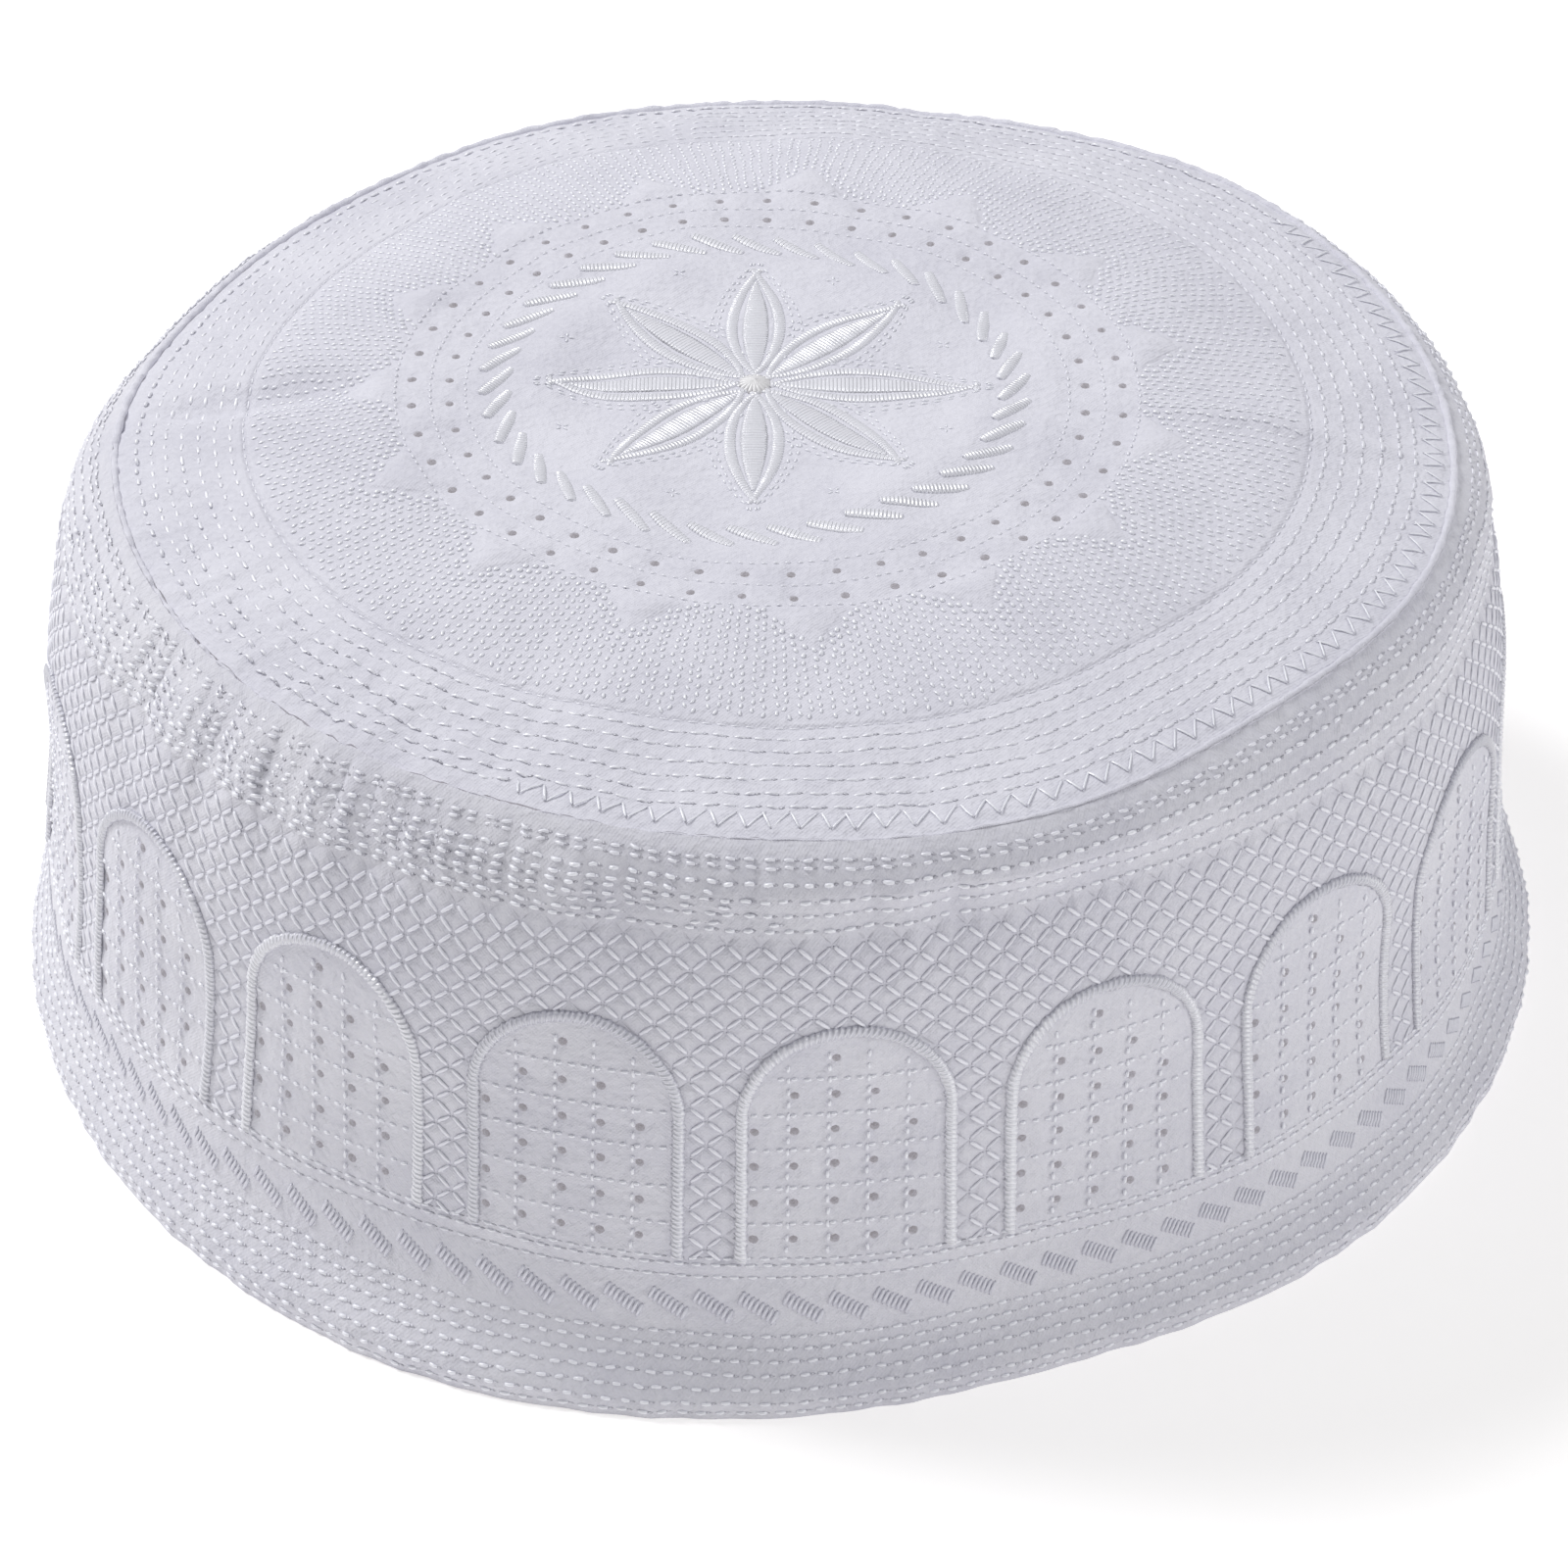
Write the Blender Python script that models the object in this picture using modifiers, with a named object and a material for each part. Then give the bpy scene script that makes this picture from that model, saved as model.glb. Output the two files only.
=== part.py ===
"""Embroidered prayer cap: a flat round crown sewn to a straight side band, standing on its rim.

Metres, +Z up. The rim rests on Z = 0 and the front of the cap faces -Y. Angles run round the cap in
degrees from the front, towards +X. Each cloth piece is an outer skin worked out from the short table of
sections, thickened inwards.
"""

import math
from collections import namedtuple

import bmesh
import bpy
from mathutils import Vector

MM = 0.001

# Cloth
CLOTH = 2.0 * MM
HEM_CLOTH = 3.0 * MM

# Middle of the embroidered crown, seen from the middle of the footprint, in millimetres
CROWN_CENTRE = Vector((-2.5, 0.8, 0.0))

# Outline of the cap at sections round it, in millimetres: radius of the rim, of the wall half way up and
# of the crown seam, and the height of that seam. The crown sinks and draws in towards the back left.
Section = namedtuple("Section", "angle rim wall seam seam_height")
SECTIONS = [
    Section(-90.0, 89.5, 84.5, 76.0, 70.0),
    Section(-67.5, 91.0, 86.0, 76.5, 70.5),
    Section(-45.0, 93.5, 86.5, 77.5, 71.0),
    Section(-22.5, 95.5, 86.5, 78.0, 71.0),
    Section(0.0, 94.0, 86.5, 79.0, 71.0),
    Section(22.5, 91.5, 86.0, 80.0, 71.0),
    Section(45.0, 93.5, 87.0, 78.0, 71.0),
    Section(67.5, 94.0, 88.0, 80.0, 70.5),
    Section(90.0, 94.5, 87.5, 80.5, 69.0),
    Section(112.5, 94.0, 86.0, 81.0, 69.0),
    Section(135.0, 93.5, 87.0, 80.5, 69.5),
    Section(157.5, 93.0, 86.0, 79.0, 68.0),
    Section(180.0, 92.5, 85.5, 78.0, 67.5),
    Section(202.5, 92.0, 85.0, 76.5, 68.0),
    Section(225.0, 91.0, 83.5, 75.0, 67.5),
    Section(247.5, 90.0, 83.0, 74.0, 68.5),
]
SECTION_STEP = 360.0 / len(SECTIONS)

# Crown
CROWN_TOP = 76.0
FLAT_RADIUS = 45.0
FALL_START = 37.0
FALL_POWER = 1.6
SEAM_NOMINAL = 79.0
CROWN_EDGE = 76.5
CROWN_ROWS = (8.0, 22.0, 34.0, 46.0, 53.0, 59.5, 65.0, 70.0, 74.0, CROWN_EDGE)
CROWN_COLUMNS = 72

# Soft folds across the crown, left from packing it flat: angle, height (a valley is below zero), half width
Crease = namedtuple("Crease", "angle height half_width")
CREASES = [
    Crease(-91.0, -1.6, 4.0),
    Crease(86.0, 1.2, 4.5),
]
CREASE_START = 40.0
CREASE_FULL = 56.0

# Eyelets
EYELETS_ROUND = 45
EYELET_RINGS = (37.1, 41.5)
EYELET_RADIUS = 0.7
EYELET_PHASE = 276.4
EYELET_SIDES = 6

# Side band
BAND_COLUMNS = 96
BAND_ROWS = (0, 1, 2, 3, 4, 5, 6, 7, 7.5, 8, 8.5, 9)
LIP_HEIGHT = 2.5
HEM_TOP_ROW = 2

# Gathers where the fuller side band is eased onto the crown: angle, depth and half width in degrees
Gather = namedtuple("Gather", "angle depth half_width")
GATHERS = [
    Gather(-58.0, 1.2, 2.6),
    Gather(-47.5, 1.6, 2.4),
    Gather(-40.0, 1.1, 2.2),
    Gather(-31.0, 1.4, 2.4),
    Gather(-10.5, 1.3, 2.6),
    Gather(8.0, 1.2, 2.2),
    Gather(14.0, 1.4, 2.2),
    Gather(165.0, 1.8, 4.0),
]

# Seam welt
WELT_RADIUS = 1.25
WELT_INSET = 0.9
WELT_DROP = 0.55
WELT_POINTS = 72


def between(p0, p1, p2, p3, fraction):
    """Value at a fraction from p1 to p2 on a smooth curve through four evenly spaced values."""
    bend = 2 * p0 - 5 * p1 + 4 * p2 - p3 + fraction * (3 * (p1 - p2) + p3 - p0)
    return p1 + 0.5 * fraction * (p2 - p0 + fraction * bend)


def around(column, angle):
    """Value of a column of SECTIONS at an angle, smooth round the whole cap."""
    place = (angle - SECTIONS[0].angle) / SECTION_STEP
    row = math.floor(place)
    values = [getattr(SECTIONS[(row + k) % len(SECTIONS)], column) for k in (-1, 0, 1, 2)]
    return between(*values, place - row)


def along(points, place):
    """Point at a fractional place on a smooth curve through a list of (radius, height) points."""
    row = min(int(place), len(points) - 2)
    last = len(points) - 1
    four = [points[min(max(row + k, 0), last)] for k in (-1, 0, 1, 2)]
    return tuple(between(*axis, place - row) for axis in zip(*four))


def turn_between(angle, other):
    """Signed turn in degrees from one angle to another, at most half a turn."""
    return (angle - other + 180.0) % 360.0 - 180.0


def ease(value, start, full):
    """Smooth step from 0 at start to 1 at full."""
    t = min(max((value - start) / (full - start), 0.0), 1.0)
    return t * t * (3.0 - 2.0 * t)


def polar(angle, radius, height):
    """Point in metres at an angle round the crown's centre, a radius and a height in millimetres."""
    a = math.radians(angle)
    return (CROWN_CENTRE + Vector((radius * math.sin(a), -radius * math.cos(a), height))) * MM


def crown_skin(angle, reach):
    """Outer skin of the crown: flat in the middle, falling towards a seam that isn't a true circle."""
    seam = around("seam", angle)
    drop = CROWN_TOP - around("seam_height", angle)
    radius = reach
    if reach > FLAT_RADIUS:
        radius += (seam - SEAM_NOMINAL) * (reach - FLAT_RADIUS) / (CROWN_EDGE - FLAT_RADIUS)
    fall = max((reach - FALL_START) / (SEAM_NOMINAL - FALL_START), 0.0) ** FALL_POWER
    height = CROWN_TOP - drop * fall
    for crease in CREASES:
        turn = math.radians(turn_between(angle, crease.angle))
        aside = radius * math.sin(turn) / crease.half_width
        if math.cos(turn) > 0.0:
            height += crease.height * ease(radius, CREASE_START, CREASE_FULL) * math.exp(-aside * aside)
    return polar(angle, radius, height)


def band_profile(angle):
    """Outer skin of the side band at one angle, from the rim to the seam: flared hem, nearly upright
    wall, rounded shoulder."""
    rim, wall = around("rim", angle), around("wall", angle)
    seam, top = around("seam", angle), around("seam_height", angle)
    return [
        (rim, 0.0),
        (rim, LIP_HEIGHT),
        (wall + 0.45 * (rim - wall), 8.5),
        (wall + 1.9, 16.0),
        (wall + 0.5, 31.0),
        (wall, 45.0),
        (wall - 1.0, 55.0),
        (wall - 2.6, top - 8.5),
        (seam + 4.2, top - 4.0),
        (seam + 0.6, top - 1.2),
    ]


def band_skin(angle, place):
    """Outer skin of the side band, drawn in by the gathers just under the seam."""
    radius, height = along(band_profile(angle), place)
    if place <= 1:
        radius = around("rim", angle)
    rise = ease(place, 5.0, 7.5) * (1.0 - ease(place, 7.9, 8.9))
    for gather in GATHERS:
        aside = turn_between(angle, gather.angle) / gather.half_width
        radius -= gather.depth * rise * math.exp(-aside * aside)
    return polar(angle, radius, height)


def material(name, color, roughness):
    """Plain cloth material of one piece."""
    result = bpy.data.materials.new(name)
    result.use_nodes = True
    shader = result.node_tree.nodes["Principled BSDF"]
    shader.inputs["Base Color"].default_value = (*color, 1.0)
    shader.inputs["Roughness"].default_value = roughness
    shader.inputs["Metallic"].default_value = 0.0
    return result


def add_object(name, mesh, collection, finish=None):
    """Object for a mesh, in a collection, with its material."""
    result = bpy.data.objects.new(name, mesh)
    collection.objects.link(result)
    if finish:
        mesh.materials.append(finish)
    return result


def skin_mesh(name, columns, rows, skin, close_middle=False):
    """Grid rolled into a ring: its columns go round the cap and its rows take their places from rows."""
    bm = bmesh.new()
    bmesh.ops.create_grid(bm, x_segments=columns, y_segments=len(rows) - 1, size=0.5)
    for vert in bm.verts:
        column = round((vert.co.x + 0.5) * columns)
        row = round((vert.co.y + 0.5) * (len(rows) - 1))
        vert.co = skin(360.0 * (column % columns) / columns, rows[row])
    bmesh.ops.remove_doubles(bm, verts=bm.verts, dist=0.01 * MM)
    if close_middle:
        middle = CROWN_CENTRE.xy * MM
        near = 1.1 * rows[0] * MM
        inner = [e for e in bm.edges if e.is_boundary and (e.verts[0].co.xy - middle).length < near]
        bmesh.ops.contextual_create(bm, geom=inner)
    bmesh.ops.recalc_face_normals(bm, faces=bm.faces)
    mesh = bpy.data.meshes.new(name)
    bm.to_mesh(mesh)
    bm.free()
    return mesh


def thicken(piece, thickness):
    """Cloth thickness, grown inwards from the outer skin."""
    solidify = piece.modifiers.new("cloth", "SOLIDIFY")
    solidify.thickness = thickness
    solidify.offset = -1.0
    solidify.use_even_offset = False
    return solidify


def eyelet_cutters(collection):
    """Two rings of small upright prisms, one for each eyelet, as one cutter."""
    bm = bmesh.new()
    for ring in EYELET_RINGS:
        for count in range(EYELETS_ROUND):
            place = polar(EYELET_PHASE + 360.0 * count / EYELETS_ROUND, ring, CROWN_TOP)
            made = bmesh.ops.create_cone(bm, cap_ends=True, segments=EYELET_SIDES, depth=4.0 * CLOTH,
                                         radius1=EYELET_RADIUS * MM, radius2=EYELET_RADIUS * MM)
            bmesh.ops.translate(bm, verts=made["verts"], vec=place)
    mesh = bpy.data.meshes.new("eyelet_cutters")
    bm.to_mesh(mesh)
    bm.free()
    cutter = add_object("eyelet_cutters", mesh, collection)
    cutter.hide_render = True
    cutter.display_type = "WIRE"
    return cutter


def make_crown(parts, cutters):
    """Crown: quilted cloth disc with its eyelets cut through."""
    mesh = skin_mesh("crown", CROWN_COLUMNS, CROWN_ROWS, crown_skin, close_middle=True)
    crown = add_object("crown", mesh, parts, material("crown_cloth", (0.80, 0.80, 0.86), 0.75))
    thicken(crown, CLOTH)
    cut = crown.modifiers.new("eyelets", "BOOLEAN")
    cut.object = eyelet_cutters(cutters)
    cut.solver = "EXACT"
    return crown


def make_side_band(parts):
    """Side band: one wall from rim to seam, thicker at the turned hem."""
    mesh = skin_mesh("side_band", BAND_COLUMNS, BAND_ROWS, band_skin)
    band = add_object("side_band", mesh, parts, material("band_cloth", (0.78, 0.79, 0.85), 0.78))
    cloth = band.vertex_groups.new(name="cloth")
    hem_top = band_profile(0.0)[HEM_TOP_ROW][1] * MM
    for vert in mesh.vertices:
        hem = 1.0 - ease(vert.co.z, hem_top, 2.0 * hem_top)
        cloth.add([vert.index], (CLOTH + hem * (HEM_CLOTH - CLOTH)) / HEM_CLOTH, "REPLACE")
    solidify = thicken(band, HEM_CLOTH)
    solidify.vertex_group = "cloth"
    return band


def make_seam_welt(parts):
    """Seam welt: the folded seam, a narrow roll between crown and side band."""
    curve = bpy.data.curves.new("seam_welt", "CURVE")
    curve.dimensions = "3D"
    curve.bevel_depth = WELT_RADIUS * MM
    curve.bevel_resolution = 1
    spline = curve.splines.new("POLY")
    spline.points.add(WELT_POINTS - 1)
    for count, point in enumerate(spline.points):
        angle = 360.0 * count / WELT_POINTS
        radius = around("seam", angle) - WELT_INSET
        height = around("seam_height", angle) - WELT_DROP
        point.co = (*polar(angle, radius, height), 1.0)
    spline.use_cyclic_u = True
    return add_object("seam_welt", curve, parts, material("welt_cloth", (0.84, 0.84, 0.89), 0.7))


for old in list(bpy.data.objects):
    bpy.data.objects.remove(old)
prayer_cap = bpy.data.collections.new("prayer_cap")
cutting_tools = bpy.data.collections.new("cutting_tools")
bpy.context.scene.collection.children.link(prayer_cap)
bpy.context.scene.collection.children.link(cutting_tools)

make_crown(prayer_cap, cutting_tools)
make_side_band(prayer_cap)
make_seam_welt(prayer_cap)
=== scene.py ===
"""Embroidered prayer cap: white quilted cotton, worked all over with shining white thread.

Sizes are in millimetres until a point becomes part of a mesh. +Z is up, the rim stands on Z = 0 and the front
faces -Y. Angles run round the cap in degrees from the front, towards +X.
"""
import math
from collections import namedtuple
from functools import partialmethod

import bpy
import numpy as np
from mathutils import Matrix, Vector


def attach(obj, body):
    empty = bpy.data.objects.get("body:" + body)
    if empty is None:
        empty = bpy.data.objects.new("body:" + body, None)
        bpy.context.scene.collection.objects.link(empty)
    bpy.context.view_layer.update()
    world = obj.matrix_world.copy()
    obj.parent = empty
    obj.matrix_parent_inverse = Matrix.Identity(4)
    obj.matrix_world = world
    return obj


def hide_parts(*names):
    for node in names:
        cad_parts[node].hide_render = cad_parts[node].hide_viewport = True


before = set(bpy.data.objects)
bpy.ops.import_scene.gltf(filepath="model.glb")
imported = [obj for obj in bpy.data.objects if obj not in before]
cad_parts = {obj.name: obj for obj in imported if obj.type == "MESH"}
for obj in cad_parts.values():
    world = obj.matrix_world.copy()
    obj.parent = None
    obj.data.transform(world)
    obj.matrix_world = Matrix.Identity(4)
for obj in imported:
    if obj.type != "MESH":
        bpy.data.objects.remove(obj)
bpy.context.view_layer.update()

# Crown. The round top of the cap is thick white cotton, quilted flat. It is level in the middle and falls softly
# to the seam, which isn't a true circle, and two rings of eyelets go through it.
MM = 0.001
CLOTH = 2.0
CROWN_CENTRE = np.array((-2.5, 0.8, 0.0))
Section = namedtuple("Section", "angle rim wall seam seam_height")
SECTIONS = [Section(*row) for row in (
    (-90.0, 89.5, 84.5, 76.0, 70.0),
    (-67.5, 91.0, 86.0, 76.5, 70.5),
    (-45.0, 93.5, 86.5, 77.5, 71.0),
    (-22.5, 95.5, 86.5, 78.0, 71.0),
    (0.0, 94.0, 86.5, 79.0, 71.0),
    (22.5, 91.5, 86.0, 80.0, 71.0),
    (45.0, 93.5, 87.0, 78.0, 71.0),
    (67.5, 94.0, 88.0, 80.0, 70.5),
    (90.0, 94.5, 87.5, 80.5, 69.0),
    (112.5, 94.0, 86.0, 81.0, 69.0),
    (135.0, 93.5, 87.0, 80.5, 69.5),
    (157.5, 93.0, 86.0, 79.0, 68.0),
    (180.0, 92.5, 85.5, 78.0, 67.5),
    (202.5, 92.0, 85.0, 76.5, 68.0),
    (225.0, 91.0, 83.5, 75.0, 67.5),
    (247.5, 90.0, 83.0, 74.0, 68.5),
)]
SECTION_STEP = 360.0 / len(SECTIONS)

CROWN_TOP = 76.0
FLAT_RADIUS = 45.0
FALL_START = 37.0
FALL_POWER = 1.6
SEAM_NOMINAL = 79.0
CROWN_EDGE = 76.5
CROWN_REACH = 78.7

Crease = namedtuple("Crease", "angle height half_width")
CREASES = [Crease(-91.0, -2.0, 2.8), Crease(86.0, 1.1, 1.7)]
CREASE_REACH = (40.0, 56.0, 70.0)

Gather = namedtuple("Gather", "angle depth half_width")
GATHERS = [Gather(*row) for row in (
    (-58.0, 1.2, 2.6),
    (-47.5, 1.6, 2.4),
    (-40.0, 1.1, 2.2),
    (-31.0, 1.4, 2.4),
    (-10.5, 1.3, 2.6),
    (8.0, 1.2, 2.2),
    (14.0, 1.4, 2.2),
    (165.0, 1.8, 4.0),
)]
GATHER_SHARE = 0.22
PUCKER_DEPTH = 1.2

# Fine puckers along the seam: a few waves round the cap, deepest at the front left
Pucker = namedtuple("Pucker", "degrees share shift")
PUCKERS = [Pucker(3.1, 0.45, 0.0), Pucker(2.2, 0.35, 1.0), Pucker(7.3, 0.25, 2.3)]
PUCKER_DEEPEST = (-40.0, 32.0, 1.15)
PUCKER_ELSEWHERE = 0.26
FLUSH = (-22.0, 52.0)

EYELETS_ROUND = 45
EYELET_RINGS = (37.1, 41.5)
EYELET_RADIUS = 0.56
EYELET_PHASE = 276.4
EYELET_SINK = 0.28
CROWN_COLUMNS = 8 * EYELETS_ROUND

WEDGES = 15
WEDGE_PHASE = 6.3
WEDGE_BASE = 43.0
WEDGE_TIP = 49.8
WEDGE_HALF = 5.0
WEDGE_SWELL = 0.60
FIELD = (43.6, 62.0)
FIELD_LINE = 62.6
SEAM_ROWS = np.array((64.3, 66.3, 68.4, 70.5, 72.6, 74.4))
EYELET_LINES = np.array((35.2, 39.3, 43.4))

# Rings of the quilting: where the cloth swells between its stitches, and where they pull it down
Ring = namedtuple("Ring", "reach height half_width")
SWELLS = [Ring(25.5, 0.42, 3.6), Ring(34.0, 0.12, 1.6), Ring(49.0, 0.25, 9.0)]
SEWN = [
    Ring(FIELD_LINE, 0.35, 0.8),
    Ring(30.2, 0.30, 2.4),
    Ring(SEAM_ROWS, 0.24, 0.6),
    Ring(EYELET_LINES, 0.16, 0.7),
]

# Cotton: cool white, and the weave and grains that its bump is made of
COTTON_WHITE = (0.74, 0.735, 0.80)
# The shade colour serves both random wear and painted shade where thread holds the cloth down
COTTON_SHADE = (0.60, 0.595, 0.67)
# Walls of eyelets and cut edges: a grey of painted shade, and an emission of painted light
EDGE_PAINTED_SHADE = (0.53, 0.52, 0.55)
EDGE_PAINTED_GLOW = (0.105, 0.100, 0.098)
WEAVE_PITCH = 0.46
WEAVE_HEIGHT = 0.016
Grain = namedtuple("Grain", "pitch detail height")
SLUBS = Grain(0.7, 3.0, 0.20)
RUMPLES = Grain(5.0, 3.0, 0.40)
PULLS = Grain(1.9, 2.0, 0.30)
FIELD_HELD = 0.30
LINE_HELD = 0.7


def between(p0, p1, p2, p3, fraction):
    """Value at a fraction from p1 to p2 on a smooth curve through four evenly spaced values."""
    bend = 2 * p0 - 5 * p1 + 4 * p2 - p3 + fraction * (3 * (p1 - p2) + p3 - p0)
    return p1 + 0.5 * fraction * (p2 - p0 + fraction * bend)


def around(column, angle):
    """Values of a column of SECTIONS at an array of angles, smooth round the whole cap."""
    values = np.array([getattr(section, column) for section in SECTIONS])
    place = (np.asarray(angle) - SECTIONS[0].angle) / SECTION_STEP
    row = np.floor(place).astype(int)
    return between(*(values[(row + k) % len(SECTIONS)] for k in (-1, 0, 1, 2)), place - row)


def wrapped(value, step=360.0):
    """Value less whole steps, within half a step of 0: (value + step / 2) modulo step, less step / 2."""
    return (value + 0.5 * step) % step - 0.5 * step


def ease(value, start, full):
    """Smooth step from 0 at start to 1 at full: 3 t t - 2 t t t."""
    t = np.clip((value - start) / (full - start), 0.0, 1.0)
    return t * t * (3.0 - 2.0 * t)


def hump(value, half_width):
    """Bell: exp(-(value / half_width) squared)."""
    return np.exp(-((value / half_width) ** 2))


def pairs(x, y):
    """Flat coordinates from their two parts."""
    return np.stack(np.broadcast_arrays(x, y), axis=-1)


def on_disc(angle, reach):
    """Flat coordinates round a middle: x is reach sin(angle), y is -reach cos(angle)."""
    a = np.radians(angle)
    return pairs(reach * np.sin(a), -reach * np.cos(a))


def polar(angle, radius, height):
    """Points at angles round the crown's centre, as on_disc has them, with their heights."""
    angle, radius, height = np.broadcast_arrays(angle, radius, height)
    return CROWN_CENTRE + np.concatenate([on_disc(angle, radius), height[..., None]], axis=-1)


def gathered(angle):
    """Sum of the gathers' bells at an array of angles, each as deep as its row says."""
    return sum(g.depth * hump(wrapped(angle - g.angle), g.half_width) for g in GATHERS)


def puckered(angle):
    """Sum of the puckers' creases, each (1 - |sin(half the turn)|) squared, deepest at one place on the seam."""
    place, half_width, depth = PUCKER_DEEPEST
    waves = sum(w.share * (1.0 - np.abs(np.sin(math.pi * angle / w.degrees + w.shift))) ** 2 for w in PUCKERS)
    return waves * (PUCKER_ELSEWHERE + (depth - PUCKER_ELSEWHERE) * hump(wrapped(angle - place), half_width))


def flush(angle):
    """Share, from 0 to 1, of how flat crown and band lie against each other at the seam: a bell at the front."""
    return hump(wrapped(angle - FLUSH[0]), FLUSH[1])


def inside_wedge(angle, reach):
    """How far inside a plain wedge: half its width at this reach, less the distance from its middle line."""
    aside = np.abs(np.radians(wrapped(angle - WEDGE_PHASE, 360.0 / WEDGES))) * reach
    return WEDGE_HALF * (WEDGE_TIP - reach) / (WEDGE_TIP - WEDGE_BASE) - aside


def ringed(reach, rings, ground=0.0):
    """Bells of rings added to a ground, each height hump(reach - its own reach), of which it may have several."""
    bells = (r.height * hump(reach[..., None] - np.atleast_1d(r.reach), r.half_width).sum(axis=-1) for r in rings)
    return sum(bells, ground)


def crown_relief(angle, reach):
    """Height of the quilting over the smooth skin: wedges and rings swell, sewn lines and the seam pull down, and
    soft waves run over it, strongest inside the eyelets: two slanting sines and a product of two shorter ones."""
    wedges = WEDGE_SWELL * ease(inside_wedge(angle, reach), -0.8, 2.0) * ease(reach, 42.5, 44.2)
    puff, sewn = ringed(reach, SWELLS, wedges), ringed(reach, SEWN)
    x, y = np.moveaxis(on_disc(angle, reach), -1, 0)
    soft = 0.20 * np.sin(x / 8.1 + y / 12.7 + 1.0) + 0.16 * np.sin(x / 5.2 - y / 6.9 + 2.0)
    soft += 0.14 * np.sin(x / 3.1 + y / 4.3) * np.sin(y / 3.7 - x / 9.0 + 0.5)
    soft = soft * (1.7 - 0.7 * ease(reach, 30.0, 38.0)) * (1.0 - 0.8 * ease(reach, 70.0, 77.5))
    seam = (GATHER_SHARE * gathered(angle) + PUCKER_DEPTH * puckered(angle + 0.15 * reach)) * ease(reach, 58.0, 73.0)
    return puff - sewn + soft * ease(reach, 4.0, 20.0) - seam - 0.25 * ease(reach, 76.8, CROWN_REACH)


def crown_at(x, y):
    """Point of the crown's face over (x, y) on the flat disc that it was cut from. Its reach is stretched past the
    flat part to meet the seam, the height falls as a power of the reach, and each crease adds a bell across its
    line, nearly gone at the seam."""
    angle, reach = np.degrees(np.arctan2(x, -y)), np.hypot(x, y)
    seam = around("seam", angle)
    drop = CROWN_TOP - around("seam_height", angle)
    past = np.maximum(reach - FLAT_RADIUS, 0.0) / (CROWN_EDGE - FLAT_RADIUS)
    radius = reach + (seam - SEAM_NOMINAL) * past
    fall = np.maximum((reach - FALL_START) / (SEAM_NOMINAL - FALL_START), 0.0) ** FALL_POWER
    height = CROWN_TOP - drop * fall
    for crease in CREASES:
        turn = np.radians(wrapped(angle - crease.angle))
        line = hump(radius * np.sin(turn), crease.half_width) * (np.cos(turn) > 0.0)
        deep = ease(reach, *CREASE_REACH[:2]) * (1.0 - 0.85 * ease(reach, CREASE_REACH[2], CROWN_EDGE))
        height += crease.height * deep * line
    return polar(angle, radius, height + crown_relief(angle, reach))


def grid_cells(rows, columns):
    """Cells of a grid rolled into a ring: corners (row, column), next column, next row and column, next row."""
    row, column = np.indices((rows - 1, columns))
    here, above, after = row * columns, (row + 1) * columns, (column + 1) % columns
    return np.stack([here + column, here + after, above + after, above + column], axis=-1)


def halves(values):
    """Places half way between neighbouring values."""
    return 0.5 * (values[1:] + values[:-1])


def eyelet_edges(centres):
    """Each eyelet's centre with its two edges, the centre less and plus the radius."""
    return np.add.outer(centres, (-EYELET_RADIUS, 0.0, EYELET_RADIUS)).ravel()


def open_eyelets(first, second, rows, columns, scale, cells):
    """Sets the eight grid points round each eyelet's point on a circle, and leaves its four cells out.
    first and second are the grid's two coordinates, and scale turns millimetres into the first one."""
    count = first.shape[1]
    radius = EYELET_RADIUS * (1.0 + 0.06 * np.sin(7.1 * rows + 2.3 * columns))
    for t in 0.25 * math.pi * np.arange(8):
        near = rows + round(math.sin(t)), (columns + round(math.cos(t))) % count
        first[near] = first[rows, columns] + radius * scale * math.cos(t)
        second[near] = second[rows, columns] + radius * math.sin(t)
    kept, rim = np.ones(cells.shape[:2], bool), np.zeros(first.shape, bool)
    for up in (-1, 0, 1):
        for sideways in (-1, 0, 1):
            near = rows + up, (columns + sideways) % count
            rim[near] = True
            if up < 1 and sideways < 1:
                kept[near] = False
    return cells[kept], rim


def placed(name, data):
    """New object in the scene."""
    made = bpy.data.objects.new(name, data)
    bpy.context.scene.collection.objects.link(made)
    return made


def piece_of(name, points, face_sets, finish, uv, tone=None, period=None):
    """Object for points in millimetres and arrays of faces, with only the points that a face uses. uv and tone
    have a row a point; where a face crosses the end of a round, its low u is raised by the period."""
    corners = np.concatenate([faces.ravel() for faces in face_sets])
    sizes = np.concatenate([np.full(len(faces), faces.shape[1]) for faces in face_sets])
    starts = np.cumsum(sizes) - sizes
    used, corners = np.unique(corners, return_inverse=True)
    mesh = bpy.data.meshes.new(name)
    mesh.vertices.add(len(used))
    mesh.vertices.foreach_set("co", (points[used] * MM).astype(np.float32).ravel())
    mesh.loops.add(len(corners))
    mesh.loops.foreach_set("vertex_index", corners.astype(np.int32).ravel())
    mesh.polygons.add(len(sizes))
    mesh.polygons.foreach_set("loop_start", starts.astype(np.int32))
    mesh.polygons.foreach_set("use_smooth", np.ones(len(sizes), bool))
    mesh.update(calc_edges=True)
    flat = uv[used][corners]
    if period:
        far = np.maximum.reduceat(flat[:, 0], starts)
        flat[:, 0] += period * (flat[:, 0] < np.repeat(far, sizes) - 0.5 * period)
    mesh.uv_layers.new(name="cloth").data.foreach_set("uv", (flat * MM).astype(np.float32).ravel())
    if tone is not None:
        shade = mesh.attributes.new("tone", "FLOAT", "POINT")
        shade.data.foreach_set("value", tone[used].astype(np.float32))
    mesh.validate()
    mesh.materials.append(finish)
    piece = placed(name, mesh)
    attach(piece, "root")
    return piece


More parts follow.
